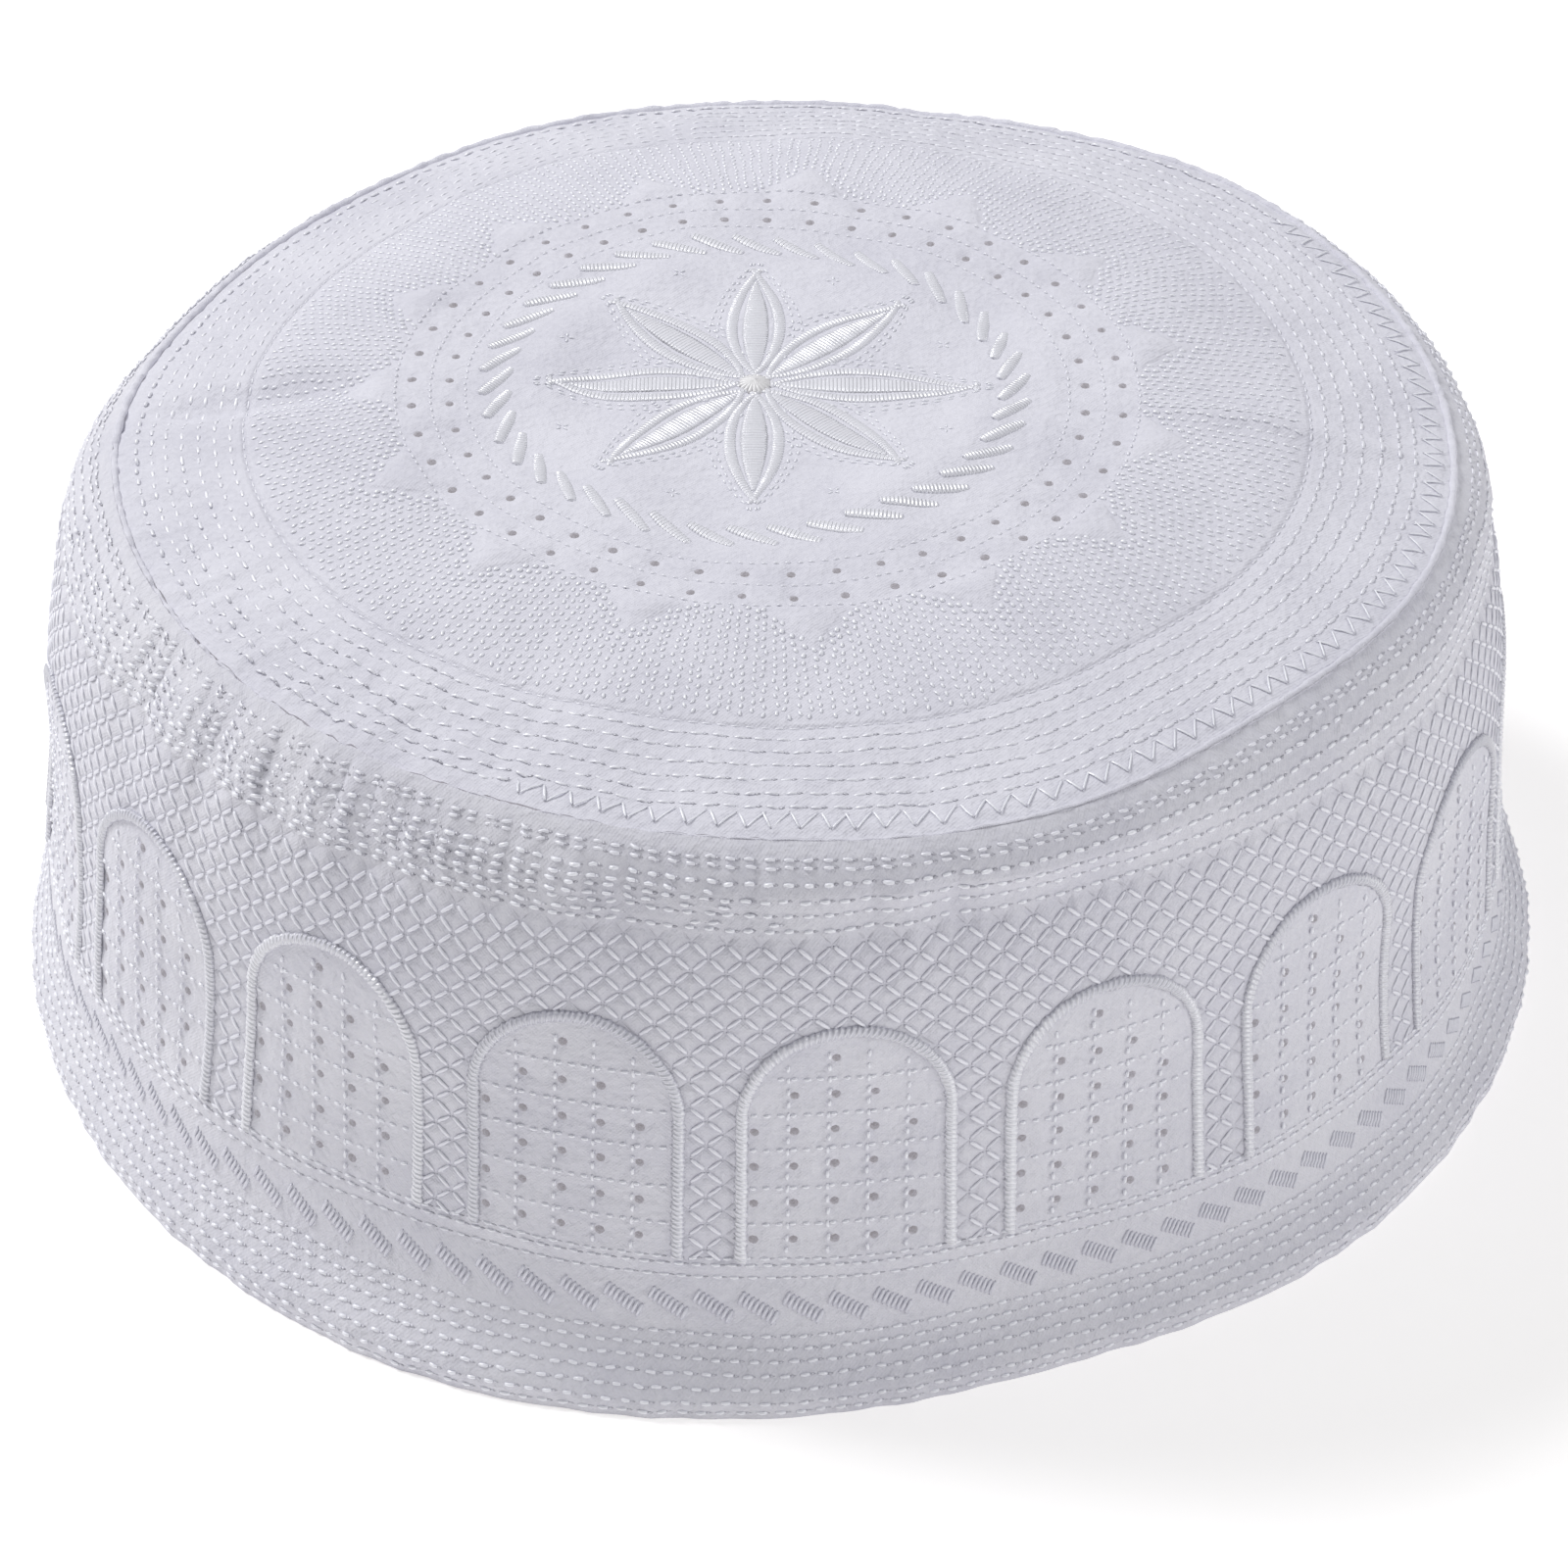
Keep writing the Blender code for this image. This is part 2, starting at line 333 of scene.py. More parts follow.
class Wire:
    """One socket of a material. Sums, products and powers of wires and numbers add the Math nodes for them."""

    def __init__(self, tree, socket=None):
        self.tree, self.socket = tree, socket

    def node(self, kind, settings=(), values=(), give=0):
        """Adds a node, with its settings first and then a value or a wire for each socket, and gives an output."""
        made = self.tree.nodes.new(kind)
        for key, value in dict(settings).items():
            setattr(made, key, value)
        for key, value in dict(values).items():
            if isinstance(value, Wire):
                self.tree.links.new(value.socket, made.inputs[key])
            else:
                made.inputs[key].default_value = value
        return Wire(self.tree, made.outputs[give])

    def math(self, operation, *others):
        """Math node of this wire and others."""
        return self.node("ShaderNodeMath", {"operation": operation}, dict(enumerate((self, *others))))

    __add__ = __radd__ = partialmethod(math, "ADD")
    __sub__ = partialmethod(math, "SUBTRACT")
    __mul__ = __rmul__ = partialmethod(math, "MULTIPLY")
    __pow__ = partialmethod(math, "POWER")

    def __rsub__(self, other):
        return self.node("ShaderNodeMath", {"operation": "SUBTRACT"}, {0: other, 1: self})

    def sine(self, pitch, shift=0.0):
        """Wave that repeats every pitch millimetres."""
        return (self * (2.0 * math.pi / pitch) + shift).math("SINE")

    def step(self, low, high):
        """Smooth step from 0 at low to 1 at high."""
        return self.node("ShaderNodeMapRange", {"interpolation_type": "SMOOTHSTEP"},
                         {"Value": self, "From Min": low, "From Max": high})

    def noise(self, pitch, detail=2.0):
        """Soft noise on coordinates in metres, with grains about a pitch in millimetres wide."""
        return self.node("ShaderNodeTexNoise", (), {"Vector": self, "Scale": 1.0 / (pitch * MM), "Detail": detail})

    def place(self):
        """Coordinates on the object, in metres."""
        return self.node("ShaderNodeTexCoord", (), (), "Object")

    def off_line(self, step):
        """Distance from the nearest of lines that stand a step apart."""
        return self.math("WRAP", 0.5 * step, -0.5 * step).math("ABSOLUTE")

    def bump(self):
        """Bent normals for a height in millimetres."""
        return self.node("ShaderNodeBump", (), {"Height": self, "Distance": MM, "Strength": 1.0})

    def into(self, shader, socket):
        """Links the wire to a socket of the shader."""
        self.tree.links.new(self.socket, shader.inputs[socket])

    def blend(self, share, low, high):
        """Colour between two by a share from 0 to 1, of which the low one may be a wire."""
        low = low if isinstance(low, Wire) else (*low, 1.0)
        return self.node("ShaderNodeMix", {"data_type": "RGBA"}, {"Factor": share, 6: low, 7: (*high, 1.0)}, 2)


def new_finish(name, sockets):
    """Material with its shader's own sockets set, and the wire that its other nodes start from."""
    finish = bpy.data.materials.new(name)
    finish.use_nodes = True
    shader = finish.node_tree.nodes["Principled BSDF"]
    for socket, value in sockets.items():
        shader.inputs[socket].default_value = value
    return finish, shader, Wire(finish.node_tree)


def cotton(name, quilting, depth, white=COTTON_WHITE):
    """White cotton. The height is a plain weave, sin u sin v, with slubs and soft creases of noise, and the
    quilting: a function of u and v in millimetres, 1 on free cloth and 0 where thread holds it down. The colour
    goes from the shade colour to white with random wear, and darker where thread holds the cloth: painted shade."""
    finish, shader, start = new_finish(name, {"Roughness": 0.86, "Sheen Weight": 0.12, "Sheen Roughness": 0.5})
    place = start.node("ShaderNodeUVMap", {"uv_map": "cloth"})
    flat = start.node("ShaderNodeVectorMath", {"operation": "SCALE"}, {0: place, "Scale": 1.0 / MM})
    u = start.node("ShaderNodeSeparateXYZ", (), {0: flat})
    v = start.node("ShaderNodeSeparateXYZ", (), {0: flat}, 1)
    where = start.place()
    slub, soft, pulled = (where.noise(grain.pitch, grain.detail) for grain in (SLUBS, RUMPLES, PULLS))
    weave = u.sine(WEAVE_PITCH) * v.sine(WEAVE_PITCH)
    free = quilting(u, v)
    height = weave * WEAVE_HEIGHT + slub * SLUBS.height + pulled * PULLS.height + soft * RUMPLES.height
    (height + free * depth).bump().into(shader, "Normal")
    wear_and_painted_shade = (where.noise(14.0, 4.0) * 0.8 + slub * 0.5 - 0.15).step(0.05, 0.75)
    # Colour: random wear, times painted shade where thread holds the cloth down in the quilting
    start.blend(wear_and_painted_shade * (free * 0.6 + 0.4), COTTON_SHADE, white).into(shader, "Base Color")
    return finish


def give_thickness(piece, thick, edge, group=""):
    """Thickens a cloth face inwards. The walls that this makes at its open edges take their own finish, and these
    edges are marked sharp, so that the walls don't soften the face."""
    mesh = piece.data
    edges = np.zeros(len(mesh.loops), np.int32)
    mesh.loops.foreach_get("edge_index", edges)
    sharp = mesh.attributes.new("sharp_edge", "BOOLEAN", "EDGE")
    sharp.data.foreach_set("value", np.bincount(edges, minlength=len(mesh.edges)) == 1)
    mesh.materials.append(edge)
    thickness = piece.modifiers.new("cloth", "SOLIDIFY")
    thickness.thickness, thickness.offset, thickness.vertex_group = thick * MM, -1.0, group
    thickness.material_offset_rim = 1


def crown_quilting(u, v):
    """Held down all over the stitched field but in its wedges (the same measure as inside_wedge), and along
    the line that rings it."""
    reach = (u * u + v * v) ** 0.5
    turn = u.math("ARCTAN2", v * -1.0) - math.radians(WEDGE_PHASE)
    aside = turn.off_line(2.0 * math.pi / WEDGES) * reach
    inside = (WEDGE_TIP - reach) * (WEDGE_HALF / (WEDGE_TIP - WEDGE_BASE)) - aside
    field = reach.step(FIELD[0], FIELD[0] + 0.8) * (1.0 - reach.step(FIELD[1] - 1.0, FIELD[1]))
    line = reach.step(FIELD_LINE - 0.6, FIELD_LINE) * (1.0 - reach.step(FIELD_LINE, FIELD_LINE + 0.6))
    return 1.0 - field * (1.0 - inside.step(-0.35, 0.25)) * FIELD_HELD - line * LINE_HELD


# Rings of the mesh: on each sewn line, each eyelet's middle and edges, and between these
lines = np.sort(np.concatenate([
    np.arange(1.6, 31.5, 1.9), (32.5, 34.1), EYELET_LINES - 0.05, EYELET_LINES[:2] + 0.75, eyelet_edges(EYELET_RINGS),
    np.arange(44.6, 61.0, 1.36), (61.7, FIELD_LINE, 63.4), SEAM_ROWS, halves(SEAM_ROWS), (76.5, 77.2, 77.9),
    (CROWN_REACH,),
]))
ring = np.arange(CROWN_COLUMNS)
angle, reach = np.meshgrid(EYELET_PHASE + ring * 360.0 / CROWN_COLUMNS, lines)
rows, columns = (index.ravel() for index in np.meshgrid(
    np.searchsorted(lines, EYELET_RINGS), 8 * np.arange(EYELETS_ROUND), indexing="ij"))
cells, rim = open_eyelets(angle, reach, rows, columns, np.degrees(1.0 / lines[rows]), grid_cells(*angle.shape))
disc = np.vstack([on_disc(angle, reach).reshape(-1, 2), (0.0, 0.0)])
points = crown_at(*disc.T) - np.array((0.0, 0.0, EYELET_SINK)) * np.append(rim, False)[:, None]
fan = np.stack([0 * ring + len(disc) - 1, ring, (ring + 1) % CROWN_COLUMNS], axis=-1)
crown_cloth = piece_of("crown_cloth", points, [cells[:, ::-1], fan],
                       cotton("crown_cotton", crown_quilting, depth=0.2), uv=disc)
# Cut cloth inside an eyelet and at the open edges: fluffy, with a darker grey that is painted shade in the holes, and
# an emission glow that is painted light lightening them
eyelet_edge, shader, start = new_finish("eyelet_edge", {
    "Roughness": 0.9, "Emission Color": (*EDGE_PAINTED_GLOW, 1.0), "Emission Strength": 1.0})
start.blend(start.place().noise(0.3).step(0.3, 0.7), EDGE_PAINTED_SHADE, COTTON_WHITE).into(shader, "Base Color")
give_thickness(crown_cloth, CLOTH, eyelet_edge)
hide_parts("crown")

# Side band. A straight strip of the same quilted cotton is closed into a ring, sewn to the crown and turned up
# at the hem, so that it flares a little at the rim. Arched panels of eyelets stand all round it.
LIP_HEIGHT = 2.5
HEM_CLOTH = 3.0
HEM_TOP = 8.5
ROUND = 546.0
PER_DEGREE = ROUND / 360.0
ARCHES = 18
ARCH_PHASE = 6.4 * PER_DEGREE
ARCH_STEP = ROUND / ARCHES
ARCH_CENTRES = ARCH_PHASE + ARCH_STEP * np.arange(ARCHES)
ARCH_HALF = 11.7
ARCH_SPRING = 37.9
ARCH_FOOT = 18.4
PANEL_ROWS = np.array((46.1, 41.0, 36.0, 31.2, 26.2, 21.3))
PANEL_COLUMNS = np.array((-6.8, -3.9, -0.9, 2.0, 4.9)) * PER_DEGREE
PANEL_SHORT = {0: (2,), 1: (1, 2, 3)}
HEM_ROWS = np.array((1.0, 2.3, 3.7, 5.0, 6.3, 7.5, 8.8))
FOOT_ROWS = np.array((16.2, 18.0, 18.9))
TOP_ROWS = np.array((61.9, 63.8, 65.6, 67.4, 68.9, 69.5))
LATTICE_ROUND = 140
LATTICE_CELL = (ROUND / LATTICE_ROUND, 3.5)
LATTICE_TOP = 61.2
EXTRA_ROWS = (62.8, 64.7, 66.5)
# The band's cotton is the crown's cotton made darker: painted shade for the upright wall
BAND_SHADED_WHITE = (0.705, 0.70, 0.75)
HEM_BEND = 0.45
WALL_OUT = (1.9, 0.5, 0.0, -1.0, -2.6)
WALL_HEIGHTS = (0.0, LIP_HEIGHT, HEM_TOP, 16.0, 31.0, 45.0, 55.0)


def along(values, place):
    """Value at a fractional place on a smooth curve through the rows of values."""
    last = len(values) - 1
    row = np.minimum(place.astype(int), last - 1)
    four = [np.take_along_axis(values, np.clip(row + k, 0, last)[None], axis=0)[0] for k in (-1, 0, 1, 2)]
    return between(*four, place - row)


def band_skin(angle, place):
    """Outer skin at arrays of angle and place: radius and height from the rim to the seam and in under the welt,
    drawn in by the gathers and puckers under the seam."""
    angle, place = (np.ravel(a) for a in np.broadcast_arrays(angle, place))
    rim, wall = around("rim", angle), around("wall", angle)
    seam, top = around("seam", angle), around("seam_height", angle)
    level, near = np.ones_like(rim), flush(angle)
    radii = (rim, rim, wall + HEM_BEND * (rim - wall), *(wall + out for out in WALL_OUT),
             seam + 4.2, seam + 0.7, seam - 1.4)
    heights = (*(up * level for up in WALL_HEIGHTS),
               top - 8.5, top - 4.0, top - 0.75 + 0.35 * near, top - 0.4 + 0.2 * near)
    radius, height = along(np.stack(radii), place), along(np.stack(heights), place)
    radius = np.where(place <= 1.0, rim, radius)
    rise = ease(place, 5.0, 7.5) * (1.0 - ease(place, 7.9, 8.9))
    eased = puckered(angle - 0.3 * place) * ease(place, 6.2, 8.2) * (1.0 - 0.6 * ease(place, 8.6, 9.0))
    return radius - 0.7 * gathered(angle) * rise - 1.4 * eased, height


# The front's heights turn a row's height there into its place, in fiftieths from place 0 at the rim to 10
PLACES = np.linspace(0.0, 10.0, 10 * 50 + 1)
FRONT_HEIGHTS = band_skin(np.zeros_like(PLACES), PLACES)[1]
FRONT_EDGE = FRONT_HEIGHTS[9 * 50]


def arch_gap(x, height):
    """Distance outside the nearest arch's line, below zero inside: legs up to the spring, a half circle over."""
    aside = wrapped(x - ARCH_PHASE, ARCH_STEP)
    return np.hypot(aside, np.maximum(height - ARCH_SPRING, 0.0)) - ARCH_HALF


def band_relief(x, height):
    """Quilting of the band: rows pull in, the plain panels swell, slow waves run over the whole, and the rim
    is a little knobbly."""
    rows = np.concatenate([HEM_ROWS, FOOT_ROWS[:1], TOP_ROWS[:4]])
    sewn = 0.26 * hump(np.maximum(height, HEM_ROWS[0])[..., None] - rows, 0.55).sum(axis=-1)
    panel = ease(-arch_gap(x, height), 0.0, 2.5) * ease(height, ARCH_FOOT, ARCH_FOOT + 2.0)
    turn = 2.0 * math.pi * x / ROUND
    waves = 0.22 * np.sin(8.0 * turn + height / 9.0) + 0.16 * np.sin(14.0 * turn - height / 7.5 + 1.3)
    waves += 0.12 * np.sin(26.0 * turn + 0.8) * np.sin(height / 4.1 + 7.0 * turn)
    knobbly = 0.16 * np.sin(59.0 * turn) * np.sin(22.0 * turn + 1.0) + 0.07 * np.sin(101.0 * turn + 2.0)
    return 0.18 * panel + waves * ease(height, 0.0, 6.0) + knobbly * (1.0 - ease(height, 1.5, 8.0)) - sewn


def band_at(x, height):
    """Point of the band's face, x millimetres round from the front and as high as its row is at the front."""
    x, height = np.broadcast_arrays(np.asarray(x, float), np.asarray(height, float))
    angle = x / PER_DEGREE
    radius, level = band_skin(angle, np.interp(height, FRONT_HEIGHTS, PLACES))
    flat = 1.0 - ease(height, 69.0, 70.0)
    return polar(angle, radius.reshape(x.shape) + flat * band_relief(x, height), level.reshape(x.shape))


def unit(vectors):
    """Vectors divided by their own lengths."""
    return vectors / np.linalg.norm(vectors, axis=-1, keepdims=True)


def band_quilting(u, v):
    """Diamonds of the lattice swell between its threads: |sin(pi a) sin(pi b)|, a and b being the two
    slanting counts, to the 0.5. The cloth is free on the panels, under their feet and over the lattice."""
    aside = (u - ARCH_PHASE).off_line(ARCH_STEP)
    over = (v - ARCH_SPRING).math("MAXIMUM", 0.0)
    outside = ((aside * aside + over * over) ** 0.5).step(ARCH_HALF, ARCH_HALF + 1.0)
    inside = v.step(ARCH_FOOT - 0.5, ARCH_FOOT + 0.5) * (1.0 - v.step(LATTICE_TOP - 0.5, LATTICE_TOP + 0.5)) * outside
    first, second = u * (1.0 / LATTICE_CELL[0]), (v - ARCH_FOOT) * (1.0 / LATTICE_CELL[1])
    up, down = (first + second).sine(2.0), (first - second).sine(2.0)
    return 1.0 - inside * (1.0 - (up * down).math("ABSOLUTE") ** 0.5)


# Rows and columns of the mesh, laid out like the crown's rings
heights = np.sort(np.concatenate([
    (0.0,), HEM_ROWS, halves(HEM_ROWS), (10.6, 12.0, 13.4, 14.9), FOOT_ROWS[:2], (17.1, 19.4),
    eyelet_edges(PANEL_ROWS), halves(PANEL_ROWS), (47.9, 49.4, 51.0, 52.8, 54.6, 56.4, 58.2, 60.1),
    TOP_ROWS[:5], halves(TOP_ROWS[:5]), (FRONT_EDGE, FRONT_HEIGHTS[-1]),
]))
side = np.linspace(PANEL_COLUMNS[-1] + EYELET_RADIUS, PANEL_COLUMNS[0] - EYELET_RADIUS + ARCH_STEP, 8)[1:-1]
in_step = np.sort(np.concatenate([eyelet_edges(PANEL_COLUMNS), halves(PANEL_COLUMNS), side]))
x, height = np.meshgrid(np.add.outer(ARCH_CENTRES, in_step).ravel(), heights)
eyelets = np.array([(level, column) for order, level in enumerate(PANEL_ROWS)
                    for column in PANEL_COLUMNS[list(PANEL_SHORT.get(order, range(5)))]])
rows = np.repeat(np.searchsorted(heights, eyelets[:, 0]), ARCHES)
columns = np.add.outer(np.searchsorted(in_step, eyelets[:, 1]), len(in_step) * np.arange(ARCHES)).ravel()
cells, rim = open_eyelets(x, height, rows, columns, 1.0, grid_cells(*x.shape))
points = band_at(x, height).reshape(-1, 3)
outward = unit((points - CROWN_CENTRE) * (1.0, 1.0, 0.0))
points -= EYELET_SINK * outward * rim.reshape(-1, 1)
side_band_cloth = piece_of("side_band_cloth", points, [cells],
                           cotton("band_cotton", band_quilting, depth=0.34, white=BAND_SHADED_WHITE),
                           uv=pairs(x.ravel(), height.ravel()), period=ROUND)
cloth = side_band_cloth.vertex_groups.new(name="cloth")
in_mesh = np.zeros(3 * len(side_band_cloth.data.vertices), np.float32)
side_band_cloth.data.vertices.foreach_get("co", in_mesh)
at_height = in_mesh[2::3] / MM
share = np.round((CLOTH + (1.0 - ease(at_height, HEM_TOP, 2.0 * HEM_TOP)) * (HEM_CLOTH - CLOTH)) / HEM_CLOTH, 2)
for weight in np.unique(share):
    cloth.add(np.flatnonzero(share == weight).tolist(), float(weight), "REPLACE")
give_thickness(side_band_cloth, HEM_CLOTH, eyelet_edge, "cloth")
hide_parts("side_band")

# Seam welt. The raw edges of crown and band are folded under together, and stand as a narrow soft roll all
# round the seam, dipping with each gather. It isn't quilted, but ripples a little where the seam pulls on it.
WELT_RADIUS = 0.50
WELT_INSET = 0.12
WELT_DROP = 0.28
WELT_COLUMNS = 720
WELT_SIDES = 12
WELT_TURN = 11.8
SEAM_PULL = 3.4


def welt_skin(angle, turn):
    """Tube round the seam: the centre line plus radius (cos t outwards, sin t up), with small folds in it; it is
    thinner where crown and band lie flush."""
    folds = 0.10 * np.sin(np.radians(angle) * 151.0) + 0.10 * np.sin(np.radians(angle) * 64.0 + 1.0)
    pulled = GATHER_SHARE * gathered(angle) + PUCKER_DEPTH * puckered(angle + WELT_TURN)
    radius = around("seam", angle) - WELT_INSET - 0.2 * pulled
    height = around("seam_height", angle) - WELT_DROP - pulled
    thick = WELT_RADIUS * (1.0 + folds) * (1.0 - 0.75 * flush(angle))
    return polar(angle, radius + thick * np.cos(turn), height + thick * np.sin(turn))


turn, angle = np.meshgrid(np.linspace(0.0, -2.0 * math.pi, WELT_SIDES + 1),
                          np.arange(WELT_COLUMNS) * 360.0 / WELT_COLUMNS, indexing="ij")
welt_cells = grid_cells(*angle.shape).reshape(-1, 4) % (WELT_SIDES * WELT_COLUMNS)
welt_uv = pairs(angle * PER_DEGREE, -turn * WELT_RADIUS).reshape(-1, 2)
# Its ripples also darken the cotton's colour in their dips: painted shade
welt_roll = piece_of("welt_roll", welt_skin(angle, turn).reshape(-1, 3), [welt_cells[:, ::-1]],
                     cotton("welt_cotton", lambda u, v: u.sine(SEAM_PULL) * 0.2 + 0.8, depth=0.15),
                     uv=welt_uv, period=ROUND)
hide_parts("seam_welt")

# Running rows and quilting of the crown. White shining thread lies in short stitches on the cloth, each one
# rising a little and sinking in at both ends: rings near the seam, a stippled field, and lines by the eyelets.
# Painted shade: the dark colour of a thread's ends in its needle holes, and of the lenses laid over them
NEEDLE_HOLE_SHADE = (0.36, 0.355, 0.41)
THREAD_IOR = 1.75
THREAD_UNDER = 0.45
CHANCE = np.random.default_rng(5388)


def jitter(half, shape):
    """Random numbers from -half to half."""
    return CHANCE.uniform(-half, half, shape)


# A stitch from end to end: places along it, how it bows up, and its thread's width and height
STITCH_PLACES = np.array((0.0, 0.14, 0.5, 0.86, 1.0))
STITCH_BOW = np.array((-0.15, 0.0, 1.0, 0.0, -0.15))
STITCH_WIDTH = np.array((0.82, 1.0, 0.82))
STITCH_HEIGHT = np.array((0.8, 1.0, 0.8))
HOLE_PLACES = np.array((-0.25, 0.15, 0.55))

# Kinds of running row: its stitches' pitch, length and wander, their thread's width, height and lift, and the
# tone of the needle holes between them, where dark lenses paint the shadow
Sewing = namedtuple("Sewing", "pitch dash wander width height lift hole")
CROWN_ROW = Sewing(2.35, 1.55, 0.10, 0.48, 0.18, 0.08, 0.30)
EDGE_ROW = Sewing(2.20, 1.40, 0.12, 0.48, 0.20, 0.08, 0.30)
FIELD_ROW = Sewing(1.60, 1.15, 0.03, 0.26, 0.14, 0.05, None)
EYELET_ROW = Sewing(1.35, 0.75, 0.10, 0.30, 0.18, 0.05, None)
EDGE_REACH = 76.3
CLOSED_AT = -112.0
CLOSED_HALF = 62.0
ZIGZAGS = 156
ZIGZAG_AT = 52.0
ZIGZAG_HALF = 74.0
ZIGZAG_REACH = (75.2, 77.6)
FIELD_COLUMNS = 296
FIELD_STITCH = 0.85
FIELD_PITCH = 1.22
FIELD_PLACES = 15
FIELD_WANDER = 0.16


def thread_finish(name, white, shade, roughness, strand=0.0):
    """Shining cotton thread. Its tone runs from 0 in a needle hole over 0.5 in the furrows to 1 on its crown, and
    its colour follows: painted shade, dark in the needle holes and greyer in the furrows; fine filaments roughen
    its gloss, and in satin they lie across the column, a strand apart."""
    finish, shader, start = new_finish(name, {
        "Roughness": roughness, "Specular IOR Level": 1.0, "IOR": THREAD_IOR})
    where = start.place()
    tone = start.node("ShaderNodeAttribute", {"attribute_name": "tone"}, (), "Fac")
    fuzz = where.noise(0.22, 2.0)
    height = fuzz * 0.05
    if strand:
        place = start.node("ShaderNodeUVMap", {"uv_map": "cloth"})
        along_column = start.node("ShaderNodeSeparateXYZ", (), {0: place}) * (1.0 / MM)
        height += along_column.sine(strand, -0.5 * math.pi) * (0.13 * strand)
    height.bump().into(shader, "Normal")
    # Painted shade: dark in the needle holes, the shade colour in the furrows
    thick = start.blend(tone.step(0.0, 0.45), NEEDLE_HOLE_SHADE, shade)
    start.blend((tone + fuzz * 0.3 - 0.15).step(0.45, 0.95), thick, white).into(shader, "Base Color")
    return finish


def threads(path, up, width, height, sides=6, slant=0.0, shine=1.0):
    """Closed threads carried along paths of shape (threads, points, 3). At each point but the first and last,
    a flattened round stands across the path: width/2 cos t to the side and height sin t up, shallower below;
    slant moves it along the path by that share of its offset to the side. The end points close the thread,
    in its needle holes, with tone 0, the dark painted shade there, and shine is each round's tone."""
    length = np.cumsum(np.linalg.norm(np.diff(path, axis=1, prepend=path[:, :1]), axis=-1), axis=1)
    ahead = unit(np.gradient(path, axis=1))
    beside = unit(np.cross(ahead, up))
    shape = count, links = path.shape[0], path.shape[1] - 2
    t = np.linspace(0.0, 2.0 * math.pi, sides, endpoint=False)
    over = np.where(np.sin(t) > 0, np.sin(t), THREAD_UNDER * np.sin(t))
    half = 0.5 * np.broadcast_to(width, shape)[..., None, None] * np.cos(t)[:, None]
    rise = np.broadcast_to(height, shape)[..., None, None] * over[:, None]
    rings = (path[:, 1:-1, None] + (beside[:, 1:-1, None] + slant * ahead[:, 1:-1, None]) * half
             + up[:, 1:-1, None] * rise)
    points = np.concatenate([path[:, :1], rings.reshape(count, -1, 3), path[:, -1:]], axis=1)
    link, k = np.indices((links - 1, sides)).reshape(2, -1)
    here, after = 1 + link * sides, (k + 1) % sides
    quads = np.stack([here + k, here + sides + k, here + sides + after, here + after], axis=-1)
    k = np.arange(sides)
    after, last = (k + 1) % sides, 1 + links * sides
    start = np.stack([0 * k, 1 + k, 1 + after], axis=-1)
    end = np.stack([0 * k + last, last - sides + after, last - sides + k], axis=-1)
    offset = (np.arange(count) * (last + 1))[:, None, None]
    tone = np.zeros((count, last + 1))
    tone[:, 1:-1] = np.repeat(np.broadcast_to(shine, shape) * CHANCE.uniform(0.78, 1.0, (count, 1)), sides, axis=1)
    place = np.concatenate([length[:, :1], np.repeat(length[:, 1:-1], sides, axis=1), length[:, -1:]], axis=1)
    faces = [(quads + offset).reshape(-1, 4), (np.vstack([start, end]) + offset).reshape(-1, 3)]
    return points.reshape(-1, 3), faces, tone.ravel(), pairs(place.ravel(), 0.0)


def laid(at, line, lift):
    """Points on a face at flat coordinates, lifted off it, and its outward direction there: the cross product
    of its two slopes."""
    u, v = line[..., 0], line[..., 1]
    e = 0.3
    up = unit(np.cross(at(u + e, v) - at(u - e, v), at(u, v + e) - at(u, v - e)))
    return at(u, v) + up * np.asarray(lift)[..., None], up


def stitched(at, start, end, width, height, lift=0.05, rise=0.0, sides=6, shine=1.0):
    """Stitches on a face, from start to end in its coordinates: the middle is lifted and the ends dip in."""
    line = start[:, None] + (end - start)[:, None] * STITCH_PLACES[:, None]
    path, up = laid(at, line, STITCH_BOW * lift + rise * STITCH_PLACES)
    return threads(path, up, width * STITCH_WIDTH, height * STITCH_HEIGHT, sides, shine=shine)


def sewn_piece(name, parts, finish):
    """Embroidery piece for sets of threads of one kind of work, joined in one mesh."""
    points, face_sets, tones, places = zip(*parts)
    offsets = np.cumsum([0, *map(len, points)])
    faces = [np.vstack([sets[k] + offset for sets, offset in zip(face_sets, offsets)]) for k in (1, 0)]
    piece = piece_of(name, np.vstack(points), faces, finish, uv=np.vstack(places), tone=np.concatenate(tones))
    return piece


def ring_of_stitches(reach, sewing):
    """Start and end of each stitch of a ring on the disc."""
    count = round(2.0 * math.pi * reach / sewing.pitch)
    begin = (np.arange(count) + CHANCE.random() + jitter(0.06, count)) * 360.0 / count
    finish_at = begin + np.degrees(sewing.dash / reach) * CHANCE.uniform(0.85, 1.1, count)
    off = jitter(sewing.wander, (2, count))
    return on_disc(begin, reach + off[0]), on_disc(finish_at, reach + off[1])


def running(at, start, end, sewing, flat=1.0, open_at=slice(None)):
    """Running stitches in the order of their row, some of them flat. Where the sewing has needle holes and the
    cloth is open, a flat dark lens of painted shadow lies over each dip, from the stitch's end towards the next
    one's start."""
    rows = [stitched(at, start, end, sewing.width, sewing.height * flat, sewing.lift)]
    if sewing.hole:
        ahead = unit(np.roll(start, -1, axis=0) - end)
        path, up = laid(at, (end[:, None] + ahead[:, None] * HOLE_PLACES[:, None])[open_at], 0.03)
        # A dark flat lens: painted shadow in the needle hole
        rows.append(threads(path, up, 0.85 * sewing.width, 0.05, 5, shine=sewing.hole))
    return rows


def turned_from(flat, place):
    """Turn in degrees of points of the disc from a place: the arc tangent of x over -y, less the place."""
    x, y = flat.T
    return wrapped(np.degrees(np.arctan2(x, -y)) - place)


